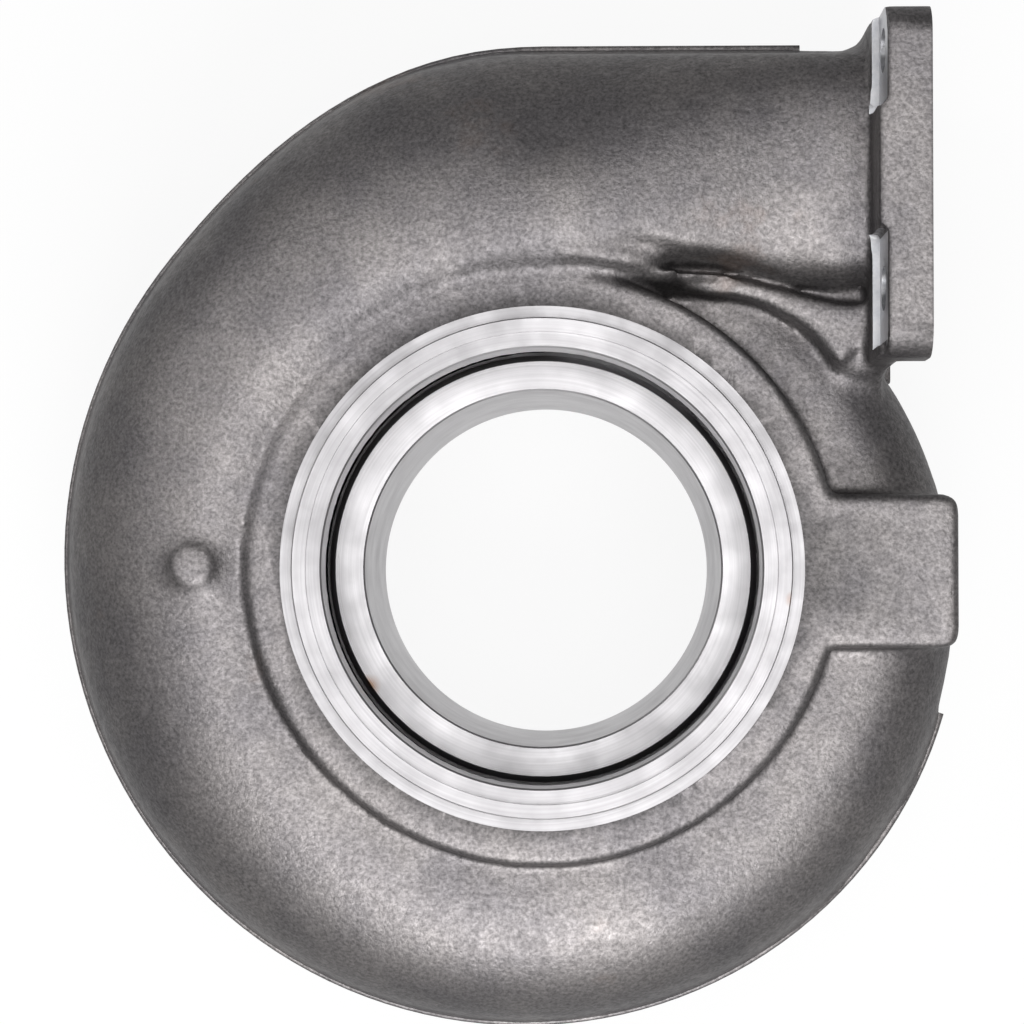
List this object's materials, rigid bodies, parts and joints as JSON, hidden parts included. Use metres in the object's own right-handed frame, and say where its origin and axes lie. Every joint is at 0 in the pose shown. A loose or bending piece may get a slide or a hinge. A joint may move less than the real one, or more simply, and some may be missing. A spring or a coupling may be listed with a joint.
{
  "type": "turbocharger turbine housing",
  "caption": "Cast-iron turbine housing: spiral gas scroll round an open bore, straight divided inlet with a rectangular bolted flange, clamp rings on both sides.",
  "frame": {"origin": "on the turbine axis, in the plane of the outlet face", "axes": "+Z along the turbine axis from the outlet to the bearing side, +X out of the inlet flange, +Y towards the inlet duct"},
  "size_m": [0.3083, 0.3403, 0.16],
  "materials": {
    "cast_iron": "shot-blasted sand casting, with turned rings, bores and joint face"
  },
  "bodies": {
    "root": {"turbine_housing": "cast_iron"}
  },
  "joints": []
}
